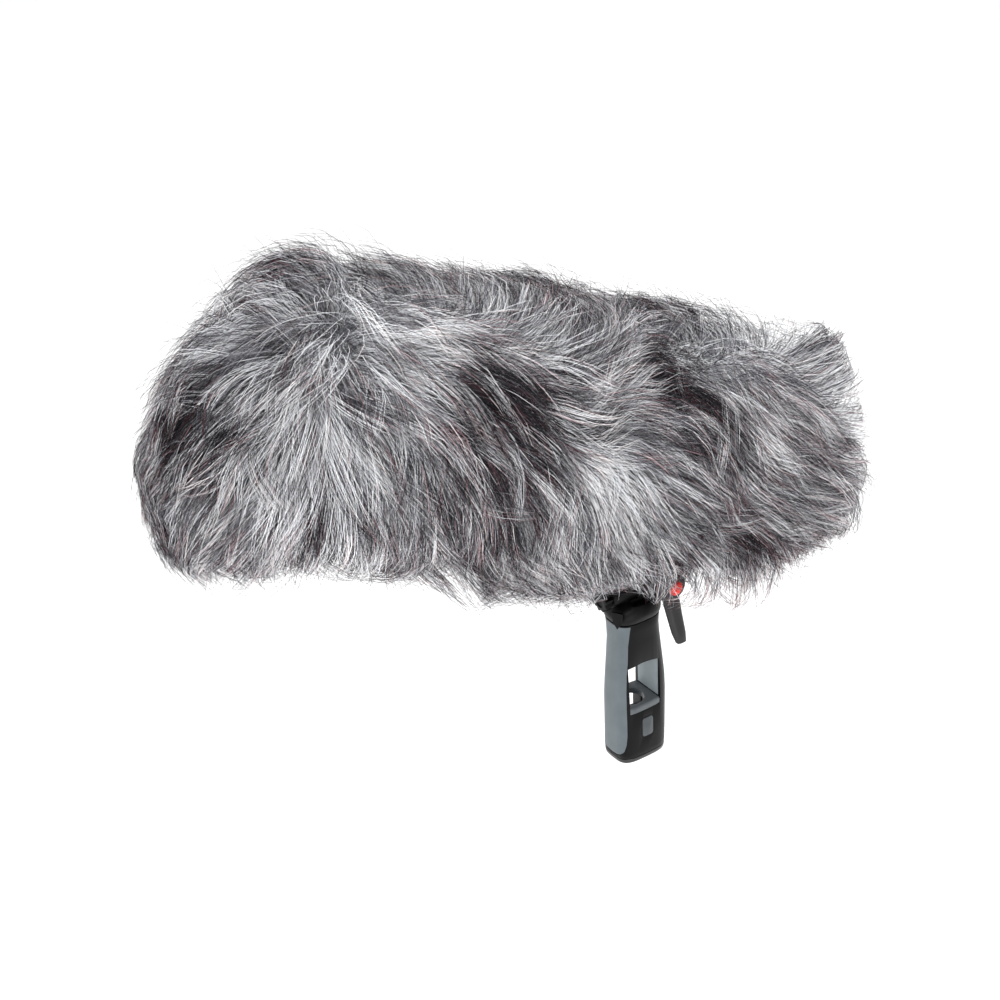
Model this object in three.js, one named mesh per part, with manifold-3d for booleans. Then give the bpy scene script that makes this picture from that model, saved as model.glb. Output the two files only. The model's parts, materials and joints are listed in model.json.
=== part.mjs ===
// Furry windscreen: a pistol-grip blimp windshield inside a long-pile fur jacket.
// Millimetres, +Z up the handle, the nose of the windshield towards -X.
// The origin is the centre of the handle's base face.
import * as THREE from 'three';
import { mergeVertices } from 'three/addons/utils/BufferGeometryUtils.js';
import Module from 'manifold-3d';

const wasm = await Module();
wasm.setup();

// ---------------------------------------------------------------- driving dimensions
const GAP = 0.3;                 // clearance between touching pieces

// handle outline: z, depth along X, width along Y, centre offset along X, squareness
const HANDLE = [
  [5.3, 46.0, 33.6, 0.0, 3.6],
  [10, 46.8, 34.0, 0.0, 3.6],
  [25, 47.4, 33.8, 0.4, 3.5],
  [58, 48.2, 33.6, 0.9, 3.4],
  [72, 47.4, 33.2, 1.1, 3.3],
  [85, 45.4, 32.2, 1.0, 3.2],
  [112, 40.8, 30.6, 0.5, 3.1],
  [122, 40.4, 30.6, 0.0, 3.1],
  [131, 41.6, 31.6, 0.0, 3.1],
];
const GRIP_T = 3.0;              // thickness of the soft grips
const WIN_X0 = -15.4;            // window through the handle
const WIN_X1 = 14.2;
const WIN_Z0 = 48.0;
const WIN_Z1 = 90.0;
const WIN_RISE = 3.2;
const LEDGE_T = 5.0;
const PLUG_R = 10.0;             // bore for a plug in the ledge and below it
const BASE_T = 5.0;

const PIVOT_X = 12.5;            // tilt pivot of the windshield on the handle
const PIVOT_Z = 168.0;
const TILT = 23.5 * Math.PI / 180;   // nose-up angle at rest, from square to the handle
const BOLT_R = 4.0;
const TONGUE_HALF = 8.0;
const EAR_IN = 10.0;
const EAR_OUT = 17.0;
const EAR_R = 15.0;

const AXIS_H = 98.0;             // basket axis above the pivot
const BASKET_R = 50.0;
const TUBE_U0 = -350.0;          // nose end of the tube, along the basket axis from the pivot
const TUBE_U1 = 34.0;            // tail end of the tube
const CAP_NOSE = 50.0;           // depth of the nose dome
const CAP_TAIL = 42.0;           // depth of the tail dome
const WALL = 1.8;

const FUR_DROP = 5.0;            // the pile hangs this much below the basket axis
const FUR_R = 112.0;
const FUR_NOSE = -446.0;
const FUR_TAIL = 132.0;
const SLOT_U = 59.0;             // half length of the jacket's slot
const SLOT_Y0 = -53.0;
const SLOT_Y1 = 40.0;

const LEVER_Y = 38.0;            // outer face of the lever hub, on the -Y side
const LEVER_LEN = 46.0;

// ---------------------------------------------------------------- helpers
const part = new THREE.Group();

function clean(geometry) {
  let g = geometry.clone();
  g.deleteAttribute('normal');
  g.deleteAttribute('uv');
  g = mergeVertices(g, 1e-4);
  const index = g.getIndex().array;
  const p = g.getAttribute('position');
  const keep = [];
  for (let i = 0; i < index.length; i += 3) {
    const [a, b, c] = [index[i], index[i + 1], index[i + 2]];
    if (a !== b && b !== c && a !== c) keep.push(a, b, c);
  }
  const A = new THREE.Vector3(), B = new THREE.Vector3(), C = new THREE.Vector3();
  let volume = 0;
  for (let i = 0; i < keep.length; i += 3) {
    A.fromBufferAttribute(p, keep[i]);
    B.fromBufferAttribute(p, keep[i + 1]);
    C.fromBufferAttribute(p, keep[i + 2]);
    volume += A.dot(B.cross(C));
  }
  if (volume < 0) for (let i = 0; i < keep.length; i += 3) [keep[i + 1], keep[i + 2]] = [keep[i + 2], keep[i + 1]];
  g.setIndex(keep);
  return g;
}

function solid(geometry) {
  const g = clean(geometry);
  return new wasm.Manifold(new wasm.Mesh({
    numProp: 3,
    vertProperties: new Float32Array(g.getAttribute('position').array),
    triVerts: new Uint32Array(g.getIndex().array),
  }));
}

function shape3(manifold) {
  const m = manifold.getMesh();
  const g = new THREE.BufferGeometry();
  g.setAttribute('position', new THREE.BufferAttribute(new Float32Array(m.vertProperties), 3));
  g.setIndex([...m.triVerts]);
  return g;
}

function material(colour, roughness, metalness = 0) {
  return new THREE.MeshStandardMaterial({ color: colour, roughness, metalness });
}

function add(parent, name, geometry, mat) {
  const g = geometry.isBufferGeometry ? clean(geometry) : clean(shape3(geometry));
  const mesh = new THREE.Mesh(g, mat);
  mesh.name = name;
  parent.add(mesh);
  return mesh;
}

// a cylinder or ring along an axis, from a to b
function rod(axis, r, a, b, x = 0, y = 0, z = 0, sides = 32, r2 = r) {
  const g = new THREE.CylinderGeometry(r2, r, b - a, sides);
  g.translate(0, (a + b) / 2, 0);
  if (axis === 'z') g.rotateX(Math.PI / 2);
  if (axis === 'x') g.rotateZ(-Math.PI / 2);
  g.translate(x, y, z);
  return solid(g);
}

function block(x0, x1, y0, y1, z0, z1) {
  const g = new THREE.BoxGeometry(x1 - x0, y1 - y0, z1 - z0);
  g.translate((x0 + x1) / 2, (y0 + y1) / 2, (z0 + z1) / 2);
  return solid(g);
}

// an outline in X and Z, pushed along Y from y0 to y1
function prismXZ(points, y0, y1) {
  const s = new THREE.Shape(points.map(([x, z]) => new THREE.Vector2(x, z)));
  const g = new THREE.ExtrudeGeometry(s, { depth: y1 - y0, bevelEnabled: false });
  g.rotateX(Math.PI / 2);          // the outline's Y becomes Z, the depth runs to -Y
  g.translate(0, y1, 0);
  return solid(g);
}

// an outline in Y and Z, pushed along X from x0 to x1
function prismYZ(points, x0, x1) {
  const s = new THREE.Shape(points.map(([y, z]) => new THREE.Vector2(y, z)));
  const g = new THREE.ExtrudeGeometry(s, { depth: x1 - x0, bevelEnabled: false });
  g.rotateX(Math.PI / 2);
  g.rotateZ(Math.PI / 2);          // outline X -> Y, outline Y -> Z, depth -> +X
  g.translate(x0, 0, 0);
  return solid(g);
}

// a body of revolution about the X axis: points are [u, r]
function turned(points, sides = 40, h = 0) {
  const g = new THREE.LatheGeometry(points.map(([u, r]) => new THREE.Vector2(r, u)), sides);
  g.rotateZ(-Math.PI / 2);
  g.translate(0, 0, h);
  return solid(g);
}

function rowAt(z) {
  let i = 0;
  while (i < HANDLE.length - 2 && z > HANDLE[i + 1][0]) i++;
  const a = HANDLE[i], b = HANDLE[i + 1];
  const t = (z - a[0]) / (b[0] - a[0]);
  return a.map((v, k) => v + (b[k] - v) * t);
}

// a solid with superelliptic sections, from a list of rows like HANDLE's
function loft(rows, inset = 0, sides = 32) {
  const g = new THREE.CylinderGeometry(1, 1, 1, sides, rows.length - 1);
  g.rotateX(Math.PI / 2);
  const p = g.getAttribute('position');
  for (let i = 0; i < p.count; i++) {
    const x = p.getX(i), y = p.getY(i);
    const k = Math.round((p.getZ(i) + 0.5) * (rows.length - 1));
    const [z, dx, dy, cx, n] = rows[k];
    const r = Math.hypot(x, y) > 0.5 ? 1 : 0;
    const c = x / (Math.hypot(x, y) || 1), s = y / (Math.hypot(x, y) || 1);
    const px = Math.sign(c) * Math.abs(c) ** (2 / n) * (dx / 2 - inset) * r;
    const py = Math.sign(s) * Math.abs(s) ** (2 / n) * (dy / 2 - inset) * r;
    p.setXYZ(i, px + cx, py, z);
  }
  return solid(g);
}

// ---------------------------------------------------------------- materials
const black = material(0x222225, 0.42);
const blackSoft = material(0x1b1b1d, 0.6);
const grey = material(0x6e787c, 0.62);
const darkGrey = material(0x4a4648, 0.45);
const red = material(0xd94436, 0.4);
const steel = material(0xb0b3b8, 0.35, 1);
const brass = material(0xb79655, 0.35, 1);
const furMat = material(0x9a9a9c, 0.95);
const net = material(0x2b2b2d, 0.9);
const cage = material(0x2a2b2e, 0.6);

// ================================================================ handle body
const HTOP = HANDLE[HANDLE.length - 1][0];
const outer = loft(HANDLE);
const inner = loft(HANDLE.map((r, i) => [r[0] + (i === 0 ? -1 : i === HANDLE.length - 1 ? 1 : 0), ...r.slice(1)]), GRIP_T);

// side-view outlines of the two soft grips: tongues that taper to the front and rear of the foot
const frontSeam = [[-12.6, 129.8], [-13.4, 122], [-14.4, 112], [-15.2, 98], [-16.6, 85], [-17.6, 70], [-17.9, 55], [-17.8, 40], [-17.9, 28], [-18.6, 20], [-20.2, 13], [-23.6, 7.6]];
const rearSeam = [[15.6, 127], [17.2, 112], [17.8, 98], [18.9, 85], [19.8, 70], [20.2, 55], [20.3, 40], [20.6, 28], [21.3, 18], [23.8, 9]];
const frontRegion = (d) => prismXZ([...frontSeam.map(([x, z], i) => [x + d, i === 0 ? z + d : z - (i === frontSeam.length - 1 ? 1.4 * d : 0)]), [-40, frontSeam[frontSeam.length - 1][1] - 1.4 * d], [-40, 129.8 + d]].reverse(), -40, 40);
const rearRegion = (d) => prismXZ([...rearSeam.map(([x, z], i) => [x - d, i === 0 ? z + d : z - (i === rearSeam.length - 1 ? 1.4 * d : 0)]), [40, rearSeam[rearSeam.length - 1][1] - 1.4 * d], [40, 127 + d]], -40, 40);
const skin = outer.subtract(inner);
const innerTight = loft(HANDLE.map((r, i) => [r[0] + (i === 0 ? -1 : i === HANDLE.length - 1 ? 1 : 0), ...r.slice(1)]), GRIP_T + GAP);
const skinWide = loft(HANDLE.map((r, i) => [r[0] + (i === 0 ? -1 : i === HANDLE.length - 1 ? 1 : 0), ...r.slice(1)]), -2).subtract(innerTight);
const frontGrip = skin.intersect(frontRegion(0));
const rearGrip = skin.intersect(rearRegion(0));

// window with a slightly arched top
const arch = [];
for (let i = 0; i <= 10; i++) {
  const t = i / 10;
  arch.push([WIN_X0 + (WIN_X1 - WIN_X0) * t, WIN_Z1 + WIN_RISE * Math.sin(Math.PI * Math.min(1, 0.08 + t * 0.9))]);
}
const windowCut = prismXZ([[WIN_X0, WIN_Z0 - GAP], [WIN_X1, WIN_Z0 - GAP], ...arch.slice().reverse()], -40, 40);
const linerPocket = block(WIN_X1 - 0.1, WIN_X1 + 1.6 + GAP, -13.3, 13.3, WIN_Z0 + 5.4, WIN_Z1 - 0.4);

const screwSpots = [[18.2, 20], [14.5, 104], [-11.0, 106], [-14.5, 22]];
const split = block(-40, 40, -GAP / 2, GAP / 2, -10, 200);
let frame = outer
  .subtract(skinWide.intersect(frontRegion(GAP)))
  .subtract(skinWide.intersect(rearRegion(GAP)))
  .subtract(windowCut)
  .subtract(linerPocket)
  .subtract(rod('z', PLUG_R, 14, WIN_Z0 + 1, -1.5, 0, 0, 32))
  .subtract(block(-9.5, 11.5, 2, 40, 30, WIN_Z0))      // the far side is open below the ledge, where a cable comes out
  .subtract(split);
// badge pocket on the -Y side
const badgePts = [[-5.2, 37.8], [-4.6, 39.6], [-3.6, 40.2], [3.6, 40.2], [4.6, 39.6], [5.2, 37.8], [5.2, 25.2], [4.6, 23.4], [3.6, 22.8], [-3.6, 22.8], [-4.6, 23.4], [-5.2, 25.2]];
const badgeShift = ([x, z], d) => [x * (1 + d / 5) + 0.6, (z - 31.5) * (1 + d / 8.6) + 31.5];
const badgeOuter = loft(HANDLE, -0.6).intersect(prismXZ(badgePts.map((q) => badgeShift(q, 0)), -30, -10)).subtract(loft(HANDLE.map((r, i) => [r[0] + (i === 0 ? -1 : i === HANDLE.length - 1 ? 1 : 0), ...r.slice(1)]), 0.9));
frame = frame.subtract(prismXZ(badgePts.map((q) => badgeShift(q, GAP)), -30, -10).subtract(loft(HANDLE.map((r, i) => [r[0] + (i === 0 ? -1 : i === HANDLE.length - 1 ? 1 : 0), ...r.slice(1)]), 0.9 + GAP)));
// screws that hold the two halves together, driven from the +Y side
screwSpots.forEach(([x, z], i) => {
  const y = rowAt(z)[2] / 2;
  frame = frame.subtract(rod('y', 1.6, -9, 30, x * 0.86, 0, z, 16)).subtract(rod('y', 3.4, y - 5.4, 30, x * 0.86, 0, z, 20));
});
// socket for the swivel head's spigot
frame = frame.subtract(rod('z', 9.0, 112, 140, 1.5, 0, 0, 32));
const rightHalf = frame.intersect(block(-40, 40, -40, 0, -10, 200));
const leftHalf = frame.intersect(block(-40, 40, 0, 40, -10, 200));
add(part, 'handle_frame_right', rightHalf, black);
add(part, 'handle_frame_left', leftHalf, black.clone());
add(part, 'front_grip', frontGrip, grey);
add(part, 'rear_grip', rearGrip, material(0x33373a, 0.6));
add(part, 'window_liner', block(WIN_X1 + GAP / 2, WIN_X1 + 1.6, -13, 13, WIN_Z0 + 5.4 + GAP, WIN_Z1 - 0.7), grey.clone());
add(part, 'side_badge', badgeOuter, material(0x6b6f72, 0.4));

screwSpots.forEach(([x, z], i) => {
  const y = rowAt(z)[2] / 2;
  const s = rod('y', 3.1, y - 5.1, y - 2.2, x * 0.86, 0, z, 20).add(rod('y', 1.3, -8.6, y - 5, x * 0.86, 0, z, 12))
    .subtract(rod('y', 1.3, y - 3.6, y, x * 0.86, 0, z, 6));
  add(part, `handle_screw_${i + 1}`, s, steel.clone());
});

// ledge at the bottom of the window, with the plug hole in it
const ledgeRows = [WIN_Z0, WIN_Z0 + LEDGE_T - 1, WIN_Z0 + LEDGE_T].map((z, i) => {
  const r = rowAt(z);
  return [z, r[1] - (i === 2 ? 2.6 : 0.6), r[2] - (i === 2 ? 2.6 : 0.6), 0, r[4]];
});
const ledge = loft(ledgeRows).intersect(block(WIN_X0 + GAP, WIN_X1 - GAP, -30, 30, 0, 100))
  .subtract(rod('z', 11.6, 40, 60, -3.9, 0, 0, 40))
  .subtract(block(-30, -3.9, 0, 30, 40, 60));      // its ring is open to the far left, so that a cable can slip in
add(part, 'window_ledge', ledge, material(0x3c3f42, 0.45));

// base plate: flared foot with the boom thread insert
const basePlate = loft([[0, 42.4, 30.4, 0, 3.6], [1.2, 45.4, 33.0, 0, 3.6], [BASE_T, 46.4, 34.0, 0, 3.6]])
  .subtract(rod('z', 8.0 + GAP, -1, 9, 0, 0, 0, 40));
add(part, 'base_plate', basePlate, black.clone());
// brass insert, 3/8 inch thread, blind above
const insert = rod('z', 8.0, 0.5, BASE_T, 0, 0, 0, 40).subtract(rod('z', 4.7, -1, BASE_T - 0.8, 0, 0, 0, 32));
add(part, 'boom_thread_insert', insert, brass);

// swivel head: a rounded block on the handle with a tongue up to the pivot
const HEAD0 = HTOP + GAP;
const KNOB_Z = HEAD0 + 22.5;
const headRows = [
  [HEAD0, 40.6, 30.8, 0, 3.0], [HEAD0 + 2.2, 43.6, 33.8, 0, 2.9], [HEAD0 + 6.5, 44.6, 34.8, 0.4, 2.8],
  [HEAD0 + 11, 42.6, 33.4, 1.6, 2.7], [HEAD0 + 15, 37.6, 30.4, 4.0, 2.6], [HEAD0 + 17.6, 31.0, 24.0, 7.0, 2.5],
];
let head = loft(headRows, 0, 28)
  .add(rod('z', 8.7, 112.6, HEAD0 + 3, 1.5, 0, 0, 32))
  .add(block(PIVOT_X - 12.5, PIVOT_X + 12.5, -TONGUE_HALF, TONGUE_HALF, HEAD0 + 6, PIVOT_Z))
  .add(rod('y', 12.5, -TONGUE_HALF, TONGUE_HALF, PIVOT_X, 0, PIVOT_Z, 36))
  .subtract(rod('y', BOLT_R + GAP, -20, 20, PIVOT_X, 0, PIVOT_Z, 24))
  .add(rod('x', 8.0, -22.6, 4, 0, 0, KNOB_Z, 32))
  .subtract(rod('x', 3.3, -30, -12, 0, 0, KNOB_Z, 20));
head = head.subtract(block(-8, 34, TONGUE_HALF + 0.01, 30, HEAD0 + 14.9, 200)).subtract(block(-8, 34, -30, -TONGUE_HALF - 0.01, HEAD0 + 14.9, 200));
add(part, 'swivel_head', head, blackSoft);

// lobed lock knob on the front of the head, turning about X
const knobPts = [];
for (let i = 0; i < 54; i++) {
  const a = i / 54 * Math.PI * 2;
  const r = 8.0 + 0.8 * Math.cos(a * 9);
  knobPts.push([r * Math.cos(a), r * Math.sin(a)]);
}
let knob = prismYZ(knobPts, -31.2, -24.4).add(rod('x', 5.4, -24.6, -22.9, 0, 0, 0, 24)).add(rod('x', 3.0, -24, -13, 0, 0, 0, 20))
  .subtract(rod('x', 4.8, -33, -30.2, 0, 0, 0, 28));
knob = knob.translate([0, 0, KNOB_Z]);
add(part, 'lock_knob', knob, blackSoft.clone());

// short keeper strap that hangs in front of the head and ends in a point
const strapPts = [[-4.6, 15], [4.6, 15], [3.6, 6.0], [0, 0], [-3.6, 6.0]];
const strapShape = new THREE.Shape(strapPts.map(([x, y]) => new THREE.Vector2(x, y)));
const strapG = new THREE.ExtrudeGeometry(strapShape, { depth: 1.6, bevelEnabled: false });
strapG.rotateX(Math.PI / 2);          // stands up in XZ, depth to -Y
const strap = new THREE.Group();
strap.position.set(-22.8, -11.8, 131.6);
strap.rotation.set(0, 0, -62 * Math.PI / 180);
part.add(strap);
add(strap, 'keeper_strap', strapG, material(0x161617, 0.8));

// pivot bolt, washers, friction discs, nut
const pivot = new THREE.Group();
pivot.position.set(PIVOT_X, 0, PIVOT_Z);
part.add(pivot);
add(pivot, 'pivot_bolt', rod('y', BOLT_R, -29.4, 31, 0, 0, 0, 28), steel);
const ring = (ro, ri, a, b, n = 28) => rod('y', ro, a, b, 0, 0, 0, n).subtract(rod('y', ri, a - 1, b + 1, 0, 0, 0, 20));
add(pivot, 'friction_disc_left', ring(12.4, BOLT_R + GAP, TONGUE_HALF + GAP, EAR_IN - GAP), material(0x5a4a3c, 0.8));
add(pivot, 'friction_disc_right', ring(12.4, BOLT_R + GAP, -EAR_IN + GAP, -TONGUE_HALF - GAP), material(0x5a4a3c, 0.8));
add(pivot, 'washer_left', ring(9.5, BOLT_R + GAP, EAR_OUT + GAP, EAR_OUT + 1.7), steel.clone());
add(pivot, 'washer_right', ring(9.5, BOLT_R + GAP, -EAR_OUT - 1.7, -EAR_OUT - GAP), steel.clone());
const nutPts = [];
for (let i = 0; i < 48; i++) {
  const a = i / 48 * Math.PI * 2;
  const r = i % 2 ? 10.4 : 11.0;
  nutPts.push([r * Math.cos(a), r * Math.sin(a)]);
}
add(pivot, 'pivot_nut', prismXZ(nutPts, EAR_OUT + 2.0, EAR_OUT + 11).subtract(rod('y', BOLT_R + GAP, 10, 40, 0, 0, 0, 28)), blackSoft.clone());

// clamp lever: hub, tapering arm that flares outwards, red button
const hubIn = -EAR_OUT - 2.0;
let lever = rod('y', 11.2, -LEVER_Y + 1.2, hubIn, 0, 0, 0, 30).add(rod('y', 9.9, -LEVER_Y, -LEVER_Y + 1.3, 0, 0, 0, 30, 11.2));
{
  const n = 6, g = new THREE.CylinderGeometry(1, 1, 1, 16, n);
  g.rotateX(-Math.PI / 2);
  const p = g.getAttribute('position');
  for (let i = 0; i < p.count; i++) {
    const t = 0.5 - p.getZ(i);                       // 0 at the hub, 1 at the end
    const x = p.getX(i), y = p.getY(i);
    const end = t > 0.93 ? 0.82 : 1;
    const wx = (7.6 - 2.1 * t) * end, wy = (4.6 - 1.2 * t) * end;
    const a = Math.atan2(y, x), r = Math.hypot(x, y) > 0.5 ? 1 : 0;
    const q = 2 / 2.8;
    const cx = Math.sign(Math.cos(a)) * Math.abs(Math.cos(a)) ** q, cy = Math.sign(Math.sin(a)) * Math.abs(Math.sin(a)) ** q;
    p.setXYZ(i, cx * wx * r + 4.2 * t, cy * wy * r - LEVER_Y + 7.2 - 9.0 * t ** 1.3, -4.5 - (LEVER_LEN - 0.5) * t);
  }
  lever = lever.add(solid(g));
}
lever = lever.subtract(rod('y', 7.3, -33.6, 0, 0, 0, 0, 32)).subtract(rod('y', 5.9, -60, 0, 0, 0, 0, 32));
add(pivot, 'clamp_lever', lever, darkGrey);
add(pivot, 'lever_insert', ring(7.0, BOLT_R + GAP, -29.5, hubIn, 24), steel.clone());
add(pivot, 'lever_spring', rod('y', 4.4, -36.7, -32.2, 0, 0, 0, 24).subtract(rod('y', 3.2, -37, -32, 0, 0, 0, 20)), steel.clone());
const button = rod('y', 5.6, -LEVER_Y - 2.2, -33.3, 0, 0, 0, 30).subtract(rod('y', 4.8, -37.1, -33, 0, 0, 0, 24)).add(rod('y', 4.2, -LEVER_Y - 3.2, -LEVER_Y - 2.1, 0, 0, 0, 36, 5.6));
add(pivot, 'lever_button', button, red);

// ================================================================ windshield body
const shield = new THREE.Group();
shield.position.set(PIVOT_X, 0, PIVOT_Z);
shield.rotation.set(0, TILT, 0);
part.add(shield);

// yoke: saddle under the basket with two ears on the pivot
const ear = (s) => block(-EAR_R + 1, EAR_R - 1, s > 0 ? EAR_IN : -EAR_OUT, s > 0 ? EAR_OUT : -EAR_IN, 0, 30)
  .add(rod('y', EAR_R - 1, s > 0 ? EAR_IN : -EAR_OUT, s > 0 ? EAR_OUT : -EAR_IN, 0, 0, 0, 36));
const basketClear = rod('x', BASKET_R + GAP + 0.2, -200, 200, 0, 0, AXIS_H, 44);
const saddle = prismXZ([[-25, 46], [-24, 33], [-20, 27], [-14, 25], [14, 25], [20, 27], [24, 33], [25, 46], [25, 60], [-25, 60]], -20, 20);
let yoke = saddle.add(ear(1)).add(ear(-1)).subtract(basketClear)
  .subtract(rod('y', BOLT_R + GAP, -20, 20, 0, 0, 0, 24))
  .subtract(rod('z', 2.4, 20, 60, -18, 0, 0, 16)).subtract(rod('z', 2.4, 20, 60, 18, 0, 0, 16))
  .subtract(rod('z', 4.6, 20, 36, -18, 0, 0, 20)).subtract(rod('z', 4.6, 20, 36, 18, 0, 0, 20));
add(shield, 'yoke', yoke, blackSoft.clone());
const RAIL_Z0 = AXIS_H - 45.4, RAIL_Z1 = AXIS_H - 39.4;
for (const [name, u] of [['yoke_screw_front', -18], ['yoke_screw_rear', 18]]) {
  add(shield, name, rod('z', 4.2, 32.5, 35.7, u, 0, 0, 20).add(rod('z', 2.1, 35, RAIL_Z0 + 4, u, 0, 0, 16)).subtract(rod('z', 1.6, 30, 34.4, u, 0, 0, 6)), steel.clone());
}

// basket tube: a cage of rings and ribs
let tube = turned([[TUBE_U0, BASKET_R - WALL], [TUBE_U1, BASKET_R - WALL], [TUBE_U1, BASKET_R], [TUBE_U0, BASKET_R], [TUBE_U0, BASKET_R - WALL]], 32, AXIS_H);
const bays = 3, ribs = 6;
const bayLen = (TUBE_U1 - TUBE_U0) / bays;
let cuts = null;
for (let b = 0; b < bays; b++) {
  const u0 = TUBE_U0 + b * bayLen + 9, u1 = TUBE_U0 + (b + 1) * bayLen - 9;
  for (let k = 0; k < ribs; k++) {
    const a = k / ribs * Math.PI * 2;
    const down = Math.cos(a) < -0.85;
    if (down) continue;                       // the underside stays whole where the rail and the yoke are
    const g = new THREE.BoxGeometry(u1 - u0, 40, 40);
    g.translate((u0 + u1) / 2, 0, BASKET_R + 8);
    g.rotateX(-a);
    g.translate(0, 0, AXIS_H);
    const c = solid(g);
    cuts = cuts ? cuts.add(c) : c;
  }
}
tube = tube.subtract(cuts).subtract(rod('z', 2.5, 30, 60, -18, 0, 0, 16)).subtract(rod('z', 2.5, 30, 60, 18, 0, 0, 16));
add(shield, 'basket_tube', tube, cage);
const NET_O = BASKET_R - WALL - GAP, NET_I = NET_O - 0.8;
let tubeNet = turned([[TUBE_U0 + 4.5, NET_I], [TUBE_U1 - 4.5, NET_I], [TUBE_U1 - 4.5, NET_O], [TUBE_U0 + 4.5, NET_O], [TUBE_U0 + 4.5, NET_I]], 32, AXIS_H);
tubeNet = tubeNet.subtract(rod('z', 2.7, 30, 60, -18, 0, 0, 16)).subtract(rod('z', 2.7, 30, 60, 18, 0, 0, 16));
add(shield, 'tube_net', tubeNet, net);

// tube rings and cap rings
function band(name, parent, u0, u1, r0, r1, mat) {
  return add(parent, name, turned([[u0, r0], [u1, r0], [u1, r1], [u0, r1], [u0, r0]], 32, AXIS_H), mat);
}
band('front_tube_ring', shield, TUBE_U0 - 7, TUBE_U0 + 5, BASKET_R + GAP, BASKET_R + 2.2, cage.clone());
band('rear_tube_ring', shield, TUBE_U1 - 5, TUBE_U1 + 7, BASKET_R + GAP, BASKET_R + 2.2, cage.clone());
band('front_cap_ring', shield, TUBE_U0 - 12, TUBE_U0 - GAP, BASKET_R - WALL, BASKET_R, material(0x303134, 0.55));
band('rear_cap_ring', shield, TUBE_U1 + GAP, TUBE_U1 + 12, BASKET_R - WALL, BASKET_R, material(0x303134, 0.55));

// domed caps: a ribbed cage with a net inside it
function dome(u0, dir, depth, rOut, wall, flat = 2.3) {
  const out = [], inn = [];
  const n = 5;
  for (let i = 0; i <= n; i++) {
    const t = i / n, r = Math.sin((1 - t) * Math.PI / 2) ** 1, q = 1 - r ** flat;
    out.push([u0 + dir * depth * q ** (1 / flat), rOut * r]);
    inn.push([u0 + dir * (depth - wall) * q ** (1 / flat), (rOut - wall) * r]);
  }
  return turned([...out, ...inn.reverse(), out[0]], 20, AXIS_H);
}
function capCage(u0, dir, depth) {
  const d = dome(u0, dir, depth, BASKET_R, WALL);
  const lo = Math.min(u0, u0 + dir * depth * 1.2), hi = Math.max(u0, u0 + dir * depth * 1.2);
  let keep = rod('x', 11, lo, hi, 0, 0, AXIS_H, 12);
  for (let k = 0; k < 3; k++) {
    const g = new THREE.BoxGeometry(hi - lo, 4.4, 130);
    g.rotateX((k + 0.25) / 3 * Math.PI);
    g.translate((lo + hi) / 2, 0, AXIS_H);
    keep = keep.add(solid(g));
  }
  for (const [a, b] of [[0, 6], [0.5 * depth, 0.5 * depth + 5]]) {
    const p = u0 + dir * a, q = u0 + dir * b;
    keep = keep.add(rod('x', 70, Math.min(p, q), Math.max(p, q), 0, 0, AXIS_H, 8));
  }
  return d.intersect(keep);
}
add(shield, 'front_cap_cage', capCage(TUBE_U0 - 12.3, -1, CAP_NOSE), cage.clone());
add(shield, 'rear_cap_cage', capCage(TUBE_U1 + 12.3, 1, CAP_TAIL), cage.clone());
add(shield, 'front_cap_net', dome(TUBE_U0 - 12.5, -1, CAP_NOSE - WALL - 0.5, BASKET_R - WALL - 0.5, 0.9), net.clone());
add(shield, 'rear_cap_net', dome(TUBE_U1 + 12.5, 1, CAP_TAIL - WALL - 0.5, BASKET_R - WALL - 0.5, 0.9), net.clone());

// suspension: rail, two lyres with clips
const RAIL_U0 = -322, RAIL_U1 = 24;
let rail = block(RAIL_U0, RAIL_U1, -9, 9, RAIL_Z0, RAIL_Z1)
  .subtract(block(RAIL_U0 + 8, RAIL_U1 - 8, 5.5, 12, RAIL_Z0 + 2.2, RAIL_Z1 - 2.2)).subtract(block(RAIL_U0 + 8, RAIL_U1 - 8, -12, -5.5, RAIL_Z0 + 2.2, RAIL_Z1 - 2.2))
  .subtract(rod('z', 2.4, 40, 70, -18, 0, 0, 16)).subtract(rod('z', 2.4, 40, 70, 18, 0, 0, 16));
add(shield, 'suspension_rail', rail, material(0x9a9da2, 0.35, 1));

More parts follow.
